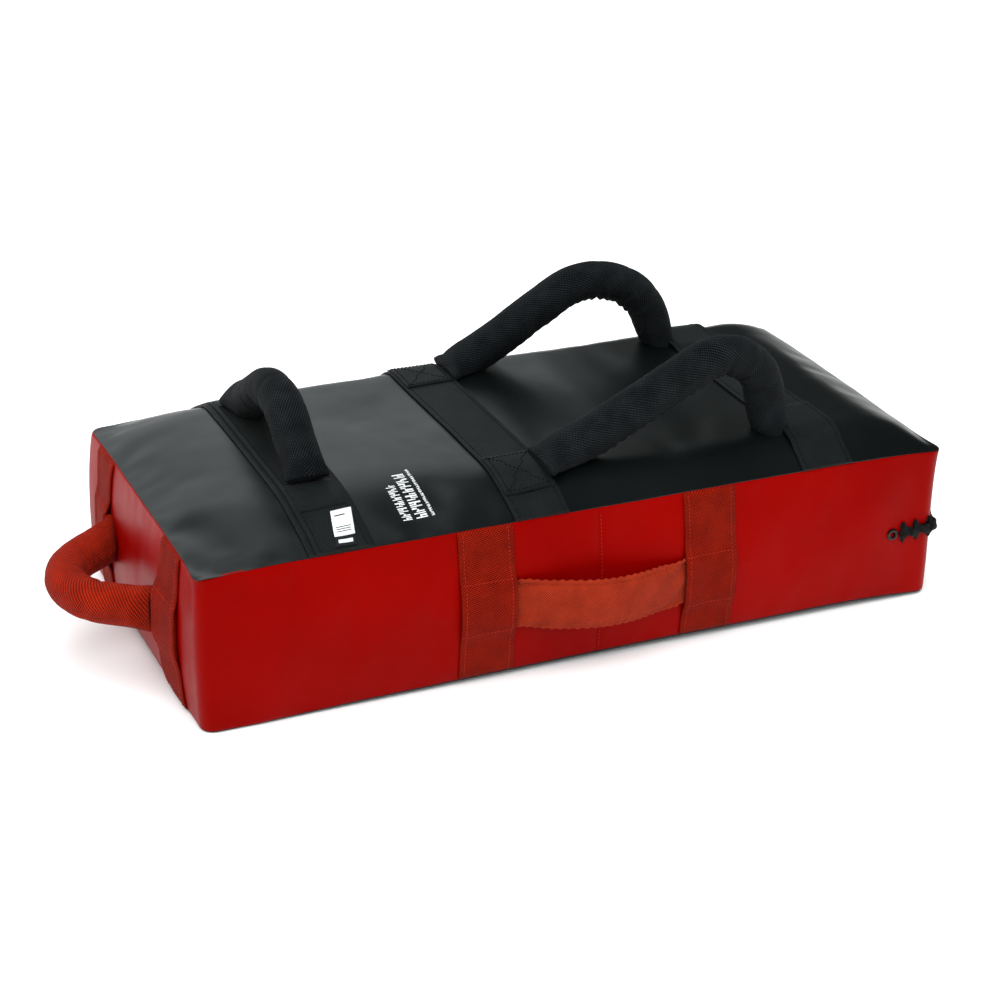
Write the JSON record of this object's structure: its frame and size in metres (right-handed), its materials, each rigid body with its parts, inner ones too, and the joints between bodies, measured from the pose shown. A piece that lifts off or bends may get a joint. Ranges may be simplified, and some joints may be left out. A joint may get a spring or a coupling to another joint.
{
  "type": "kick shield",
  "caption": "Rectangular padded kick shield in vinyl with a padded arm loop, two long grips, webbing carry handles and a laced end.",
  "frame": {"origin": "centre of the flat strike face, on the surface the pad lies on", "axes": "+X along the pad towards the laced end, -Y out of the long side with the label, +Z out of the face that carries the grips"},
  "size_m": [0.7981, 0.4132, 0.265],
  "materials": {
    "strike_vinyl": "satin coated cloth",
    "back_vinyl": "satin coated cloth",
    "wall_vinyl": "satin coated cloth",
    "flap_vinyl": "matt coated cloth",
    "dense_foam": "closed-cell foam",
    "soft_foam": "open-cell foam",
    "handle_foam": "closed-cell foam",
    "inner_webbing": "woven tape",
    "black_webbing": "ribbed woven tape",
    "red_webbing": "coarse woven tape",
    "label_weave": "fine weave",
    "grip_cloth": "ribbed woven nylon",
    "handle_cloth": "ribbed woven nylon",
    "eyelet_metal": "black enamel",
    "lace_cord": "flat braid"
  },
  "bodies": {
    "pad": {"strike_panel": "strike_vinyl", "back_panel": "back_vinyl", "wall_panel_left": "wall_vinyl", "wall_panel_right": "wall_vinyl", "strike_foam": "dense_foam", "core_foam": "soft_foam", "back_foam": "soft_foam", "arm_band_base": "black_webbing", "arm_band": "black_webbing", "middle_band": "black_webbing", "end_band": "black_webbing", "size_label": "label_weave", "front_strap_left": "red_webbing", "front_strap_right": "red_webbing", "rear_strap_left": "red_webbing", "rear_strap_right": "red_webbing", "end_strap_front": "red_webbing", "end_strap_rear": "red_webbing", "arm_loop_tab_front": "grip_cloth", "arm_loop_tab_rear": "grip_cloth", "near_grip_tab_left": "grip_cloth", "near_grip_tab_right": "grip_cloth", "far_grip_tab_left": "grip_cloth", "far_grip_tab_right": "grip_cloth", "front_handle_end_left": "handle_cloth", "front_handle_end_right": "handle_cloth", "rear_handle_end_left": "handle_cloth", "rear_handle_end_right": "handle_cloth", "end_handle_end_front": "handle_cloth", "end_handle_end_rear": "handle_cloth", "lace_flap": "flap_vinyl", "eyelets_upper": "eyelet_metal", "eyelets_lower": "eyelet_metal", "slit_grommets": "eyelet_metal", "lace": "lace_cord"},
    "arm_loop": {"arm_loop_sleeve": "grip_cloth", "arm_loop_foam": "handle_foam", "arm_loop_web": "inner_webbing"},
    "near_grip": {"near_grip_sleeve": "grip_cloth", "near_grip_foam": "handle_foam", "near_grip_web": "inner_webbing"},
    "far_grip": {"far_grip_sleeve": "grip_cloth", "far_grip_foam": "handle_foam", "far_grip_web": "inner_webbing"},
    "end_handle": {"end_handle_sleeve": "handle_cloth", "end_handle_foam": "handle_foam", "end_handle_web": "inner_webbing"},
    "front_handle": {"front_handle_sleeve": "handle_cloth", "front_handle_foam": "handle_foam", "front_handle_web": "inner_webbing"},
    "rear_handle": {"rear_handle_sleeve": "handle_cloth", "rear_handle_foam": "handle_foam", "rear_handle_web": "inner_webbing"}
  },
  "joints": [
    {"name": "arm_loop_tip", "type": "hinge", "parent": "pad", "child": "arm_loop", "pos_m": [-0.222, 0.015, 0.17444], "axis": [0, 1, 0], "range_deg": [-40, 40], "stiffness_Nm_per_rad": 1.5},
    {"name": "near_grip_tip", "type": "hinge", "parent": "pad", "child": "near_grip", "pos_m": [0.0985, -0.118, 0.1722], "axis": [1, 0, 0], "range_deg": [-40, 40], "stiffness_Nm_per_rad": 1.5},
    {"name": "far_grip_tip", "type": "hinge", "parent": "pad", "child": "far_grip", "pos_m": [0.101, 0.118, 0.1722], "axis": [1, 0, 0], "range_deg": [-40, 40], "stiffness_Nm_per_rad": 1.5},
    {"name": "end_handle_tip", "type": "hinge", "parent": "pad", "child": "end_handle", "pos_m": [-0.3606, 0, 0.075], "axis": [0, 1, 0], "range_deg": [-40, 40], "stiffness_Nm_per_rad": 1.5},
    {"name": "front_handle_tip", "type": "hinge", "parent": "pad", "child": "front_handle", "pos_m": [0.0105, -0.1831, 0.069], "axis": [0.9986, 0, -0.0523], "range_deg": [-20, 20], "stiffness_Nm_per_rad": 1},
    {"name": "rear_handle_tip", "type": "hinge", "parent": "pad", "child": "rear_handle", "pos_m": [0.0105, 0.1831, 0.069], "axis": [0.9986, 0, -0.0523], "range_deg": [-20, 20], "stiffness_Nm_per_rad": 1}
  ]
}
